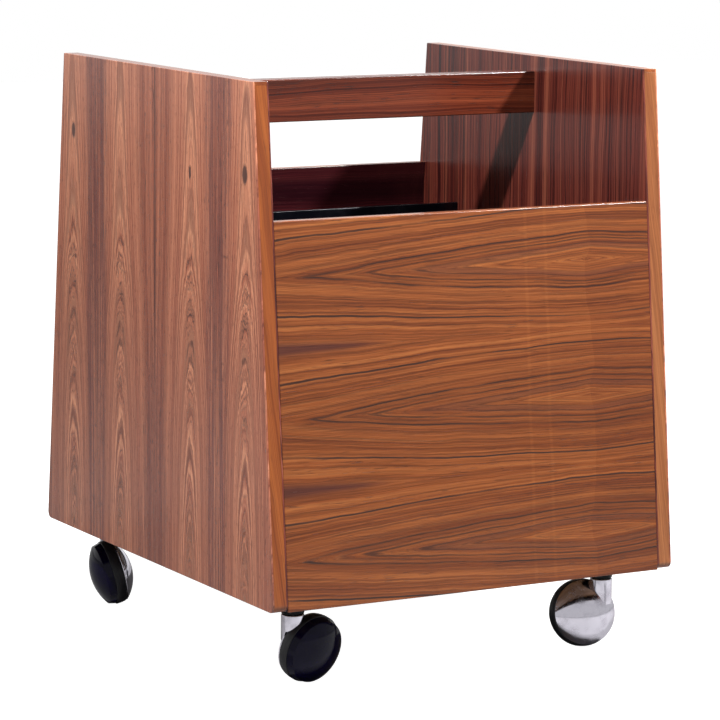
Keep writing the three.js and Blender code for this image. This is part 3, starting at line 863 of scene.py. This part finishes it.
# ---- the casters ----
# In a caster's own frame the stem axis is Z, heights are above the side panels' lower edges,
# and the black disc faces +X and tips down.
TYRE = {"radius": 30.3, "seat": 26.3, "front": 2.1, "back": -7, "round": 0.9, "front_round": 0.5,
        "back_drop": 0.7, "tread_round": 6}
DISC = {"shoulder": 27.9, "shoulder_at": 8.9, "apex": 17.9, "foot": 29.6, "foot_at": 2.4, "round": 1.1}
HUB = {"radius": 8, "back": -9, "bore": 3.3, "bore_end": 8.3}
HOOD = {"radius": 29, "rim": -7.6, "flank": 1, "apex": -21, "wall": 2.2, "boss": 7, "bore_end": -17.3,
        "rim_round": 0.8}
COLLAR = {"radius": 10, "bottom": -12.7, "sleeve": 6, "top": 22, "seat": 7.7, "bore": 4.3, "bore_end": 19}
COLLAR_ROUNDS = [0.3, 1.0, 0.4, 0, 0.5, 0, 0, 0]  # one for each corner of its profile
LUG = {"radius": 10, "top": -13.2, "bottom": -36, "round": 1.2, "bore_end": -17.8}
WHEEL_CLEARANCE = 0.6
DOME_STEPS = 28
INSIDE_STEPS = 16
ROUND_STEPS = 5
DISC_GAP = 0.3                                   # between the disc and the tyre it carries
CUT_PAST = 1                                     # how far a cutting shape goes past the face it opens


def rounded_profile(points, radii):
    vectors = [Vector(point) for point in points]
    return [tuple(point) for point in round_corners(vectors, radii, ROUND_STEPS)]


def disc_mesh():
    dome = cap_arc(DISC["shoulder"], DISC["shoulder_at"], DISC["apex"], steps=DOME_STEPS)
    before, corner = Vector(dome[-3]), Vector(dome[-1])
    foot = Vector((DISC["foot"], DISC["foot_at"]))
    shoulder = [tuple(p) for p in arc_corner(corner, before, foot, DISC["round"], ROUND_STEPS + 1)]
    seat = TYRE["seat"] - DISC_GAP
    profile = dome[:-2] + shoulder + [
        tuple(foot), (seat, DISC["foot_at"]), (seat, TYRE["back"]),
        (HUB["radius"], TYRE["back"]), (HUB["radius"], HUB["back"]), (HUB["bore"], HUB["back"]),
        (HUB["bore"], HUB["bore_end"]), (0, HUB["bore_end"])]
    return lathe_mesh("wheel_disc", profile, closed=False)


def tyre_mesh():
    points = [(TYRE["seat"], TYRE["back"]), (TYRE["radius"] - TYRE["back_drop"], TYRE["back"]),
              (TYRE["radius"], (TYRE["front"] + TYRE["back"]) / 2), (TYRE["radius"], TYRE["front"]),
              (TYRE["seat"], TYRE["front"])]
    profile = rounded_profile(points, [0, TYRE["round"], TYRE["tread_round"], TYRE["front_round"], 0])
    return lathe_mesh("wheel_tyre", profile)


def hood_shell():
    rim_foot = HOOD["rim"] - HOOD["flank"]
    inner_radius = HOOD["radius"] - HOOD["wall"]
    outside = cap_arc(HOOD["radius"], rim_foot, HOOD["apex"], steps=DOME_STEPS)
    inside = cap_arc(inner_radius, rim_foot, HOOD["apex"] + HOOD["wall"], HOOD["boss"], INSIDE_STEPS)
    boss_end = HUB["back"] - WHEEL_CLEARANCE
    rim = rounded_profile(
        [outside[-1], (HOOD["radius"], HOOD["rim"]), (inner_radius, HOOD["rim"]), inside[-1]],
        [0, HOOD["rim_round"], HOOD["rim_round"], 0])
    profile = outside[:-1] + rim + list(reversed(inside[:-1])) + [
        (HOOD["boss"], boss_end), (HUB["bore"], boss_end), (HUB["bore"], HOOD["bore_end"]),
        (0, HOOD["bore_end"])]
    return lathe_mesh("hood_shell", profile, closed=False)


def boolean(target, other, operation):
    """Applies an exact boolean to target's mesh and removes other."""
    cut = target.modifiers.new("cut", "BOOLEAN")
    cut.operation = operation
    cut.solver = "EXACT"
    cut.object = other
    bpy.context.view_layer.update()
    result = bpy.data.meshes.new_from_object(target.evaluated_get(bpy.context.evaluated_depsgraph_get()))
    target.modifiers.clear()
    target.data = result
    bpy.data.objects.remove(other)


def hood_mesh(axle_place):
    """The domed cover and the lug that joins it to the stem, as one body."""
    points = [(0, LUG["bottom"]), (LUG["radius"], LUG["bottom"]), (LUG["radius"], LUG["top"]),
              (0, LUG["top"])]
    lug_profile = rounded_profile(points, [0, 0, LUG["round"], 0])
    lug = place("lug", lathe_mesh("lug", lug_profile, closed=False), chrome)
    edge = TYRE["radius"] + WHEEL_CLEARANCE
    back = TYRE["back"] - WHEEL_CLEARANCE
    sweep = [(0, back), (edge, back), (edge, DISC["shoulder_at"]), (DISC["shoulder"], DISC["apex"]),
             (0, DISC["apex"])]
    wheel_space = place("wheel_space", lathe_mesh("wheel_space", sweep, closed=False), chrome, axle_place)
    boolean(lug, wheel_space, "DIFFERENCE")
    opening = LUG["top"] + CUT_PAST
    seat = [(0, LUG["bore_end"]), (COLLAR["bore"], LUG["bore_end"]), (COLLAR["bore"], opening), (0, opening)]
    stem_space = place("stem_space", lathe_mesh("stem_space", seat, closed=False), chrome)
    boolean(lug, stem_space, "DIFFERENCE")
    hood = place("hood", hood_shell(), chrome, axle_place)
    boolean(hood, lug, "UNION")
    data = hood.data
    bpy.data.objects.remove(hood)
    for polygon in data.polygons:
        polygon.use_smooth = True
    data.set_sharp_from_angle(angle=CREASE)
    return data


def collar_mesh():
    points = [(COLLAR["bore"], COLLAR["bottom"]), (COLLAR["radius"], COLLAR["bottom"]),
              (COLLAR["radius"], COLLAR["seat"]), (COLLAR["sleeve"], COLLAR["seat"]),
              (COLLAR["sleeve"], COLLAR["top"]), (0, COLLAR["top"]), (0, COLLAR["bore_end"]),
              (COLLAR["bore"], COLLAR["bore_end"])]
    profile = round_corners([Vector(p) for p in points], COLLAR_ROUNDS)
    return lathe_mesh("collar", [tuple(p) for p in profile])


def build_casters():
    joints = {joint["name"]: joint for joint in frame["joints"]}
    meshes = {}
    for where in PLACES:
        swivel = joints[f"swivel_{where}"]
        roll = joints[f"roll_{where}"]
        stem = Vector(swivel["pos_m"])
        axle = Vector(roll["axis"]).normalized()
        facing = math.atan2(axle.y, axle.x)
        caster_place = Matrix.Translation((stem.x, stem.y, BASE * MM)) @ Matrix.Rotation(facing, 4, "Z")
        if not meshes:
            centre = caster_place.inverted() @ Vector(roll["pos_m"])
            tip = math.asin(-axle.z)
            axle_place = Matrix.Translation(centre) @ Matrix.Rotation(math.pi / 2 + tip, 4, "Y")
            meshes = {"disc": disc_mesh(), "tyre": tyre_mesh(), "hood": hood_mesh(axle_place),
                      "collar": collar_mesh()}
        wheel_place = caster_place @ axle_place
        rows = [
            ("wheel_disc", "disc", disc_black, wheel_place, f"wheel_{where}", "disc_black"),
            ("wheel_tyre", "tyre", tyre_rubber, wheel_place, f"wheel_{where}", "tyre_rubber"),
            ("caster_hood", "hood", chrome, caster_place, f"caster_{where}", "chrome"),
            ("caster_socket", "collar", collar_black, caster_place, "case", "collar_black"),
        ]
        for node, mesh_name, look, matrix, body, slot in rows:
            piece = place(f"{node}_{where}_fine", meshes[mesh_name], look, matrix)
            settle(piece, body, f"{node}_{where}", slot)


for side_name, side_sense in (("left", -1), ("right", 1)):
    build_side(side_name, side_sense)
for end_name, end_sense in (("front", -1), ("rear", 1)):
    build_end_panel(end_name, end_sense)
build_rail()
build_dividers()
build_casters()
dress_hidden_nodes()


# ---- the studio ----
CAMERA = {"place": (-1.520, -2.728, 0.7352), "yaw": 29.27, "pitch": 8.94, "roll": 0.52, "lens": 173.6}
KEYS = {
    "key_left": {"place": (-1.0, -0.70, 1.68), "size": 0.09, "power": 47},
    "key_right": {"place": (1.1, -0.85, 1.68), "size": 0.16, "power": 92},
}
KEY_TARGET = Vector((0, 0, 0.3))
FLOOR_HALF = 6
SENSOR_WIDTH = 36
# The walls all round: how strongly they glow, and the upward part of a direction where they end.
WALL = {"front": 0.18, "mirrored_front": 0.45, "rear": 0.9, "ceiling": 0.02, "top": (0.60, 0.68)}
FRONT_TO_REAR = (0.2, 0.7)                       # Y part of a direction between the front wall and the rear


def add_camera():
    yaw, pitch, roll = (math.radians(CAMERA[key]) for key in ("yaw", "pitch", "roll"))
    ahead = Vector((math.sin(yaw) * math.cos(pitch), math.cos(yaw) * math.cos(pitch), -math.sin(pitch)))
    across = Vector((math.cos(yaw), -math.sin(yaw), 0))
    upward = across.cross(ahead)
    right = across * math.cos(roll) + upward * math.sin(roll)
    top = upward * math.cos(roll) - across * math.sin(roll)
    turn = Matrix((right, top, -ahead)).transposed().to_4x4()
    data = bpy.data.cameras.new("camera")
    data.lens = CAMERA["lens"]
    data.sensor_width = SENSOR_WIDTH
    camera = bpy.data.objects.new("camera", data)
    camera.matrix_world = Matrix.Translation(CAMERA["place"]) @ turn
    bpy.context.scene.collection.objects.link(camera)
    bpy.context.scene.camera = camera


def add_floor():
    mesh = bmesh.new()
    corners = [(-FLOOR_HALF, -FLOOR_HALF), (FLOOR_HALF, -FLOOR_HALF), (FLOOR_HALF, FLOOR_HALF),
               (-FLOOR_HALF, FLOOR_HALF)]
    mesh.faces.new([mesh.verts.new((x, y, 0)) for x, y in corners])
    data = bpy.data.meshes.new("floor")
    mesh.to_mesh(data)
    mesh.free()
    floor = place("floor", data, make_floor())


def add_keys():
    for name, key in KEYS.items():
        data = bpy.data.lights.new(name, "AREA")
        data.shape = "DISK"
        data.size = key["size"]
        data.energy = key["power"]
        light = bpy.data.objects.new(name, data)
        light.location = key["place"]
        aim = KEY_TARGET - light.location
        light.rotation_euler = aim.to_track_quat("-Z", "Y").to_euler()
        bpy.context.scene.collection.objects.link(light)


def add_world():
    """Walls up to a certain height and a dark ceiling, with a plain white backdrop for the camera.

    The front wall is brighter in mirrored surfaces than it is as a light.
    """
    world = bpy.data.worlds.new("studio")
    bpy.context.scene.world = world
    g = Graph(world)
    source = g.node("ShaderNodeTexCoord").outputs["Generated"]
    split = g.node("ShaderNodeSeparateXYZ", inputs={"Vector": Wire(g, source)})
    y, z = Wire(g, split.outputs[1]), Wire(g, split.outputs[2])
    rays = g.node("ShaderNodeLightPath")
    seen, mirrored = (Wire(g, rays.outputs[f"Is {kind} Ray"]) for kind in ("Camera", "Glossy"))
    wall = g.ease(z, *WALL["top"], 1.0, 0.0)
    front_glow = mirrored * WALL["mirrored_front"] + WALL["front"]
    glow = wall * g.ease(y, *FRONT_TO_REAR, front_glow, WALL["rear"]) + WALL["ceiling"]
    strength = g.most(glow, seen)
    background = g.node("ShaderNodeBackground", inputs={"Color": (1, 1, 1, 1), "Strength": strength})
    output = g.node("ShaderNodeOutputWorld")
    g.tree.links.new(background.outputs[0], output.inputs[0])


add_camera()
add_floor()
add_keys()
add_world()
bpy.context.scene.view_settings.view_transform = "Standard"
